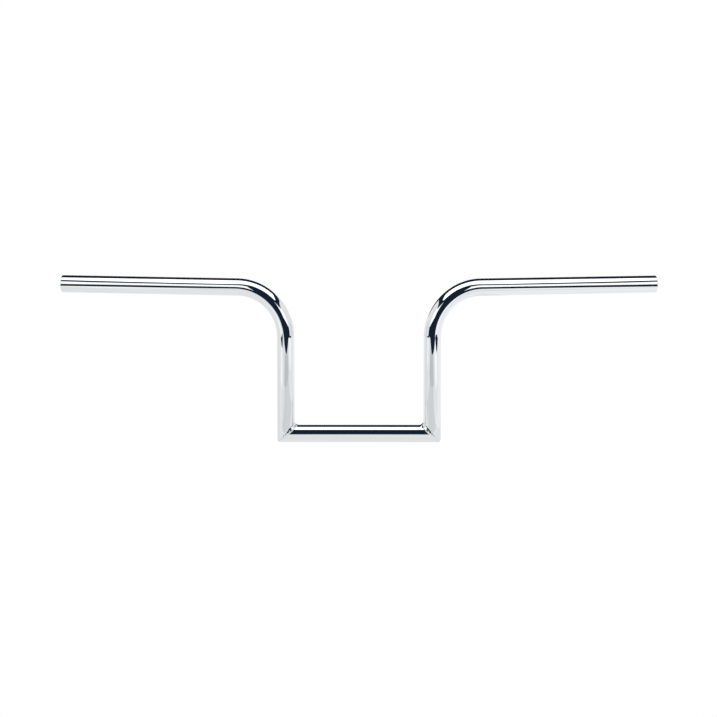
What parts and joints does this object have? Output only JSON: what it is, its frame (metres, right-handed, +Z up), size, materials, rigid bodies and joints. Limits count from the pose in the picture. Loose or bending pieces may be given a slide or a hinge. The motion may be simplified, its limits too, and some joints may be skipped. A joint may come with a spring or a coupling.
{
  "type": "motorcycle handlebar",
  "caption": "Round-tube motorcycle handlebar with a straight clamp tube, welded mitred corners, square risers and swept-back grip arms, in polished chrome.",
  "frame": {"origin": "middle of the clamp tube, on its axis, where the motorcycle's handlebar clamps hold the bar", "axes": "+X along the clamp tube, +Y the way the bar ends sweep (towards the rider), +Z up the risers"},
  "size_m": [0.762, 0.0946, 0.2084],
  "materials": {
    "polished_chrome": "mirror-polished chrome plate",
    "weld_chrome": "chrome plate over a rippled weld bead"
  },
  "bodies": {
    "root": {"left_arm_tube": "polished_chrome", "right_arm_tube": "polished_chrome", "centre_tube": "polished_chrome", "left_corner_weld": "weld_chrome", "right_corner_weld": "weld_chrome"}
  },
  "joints": []
}
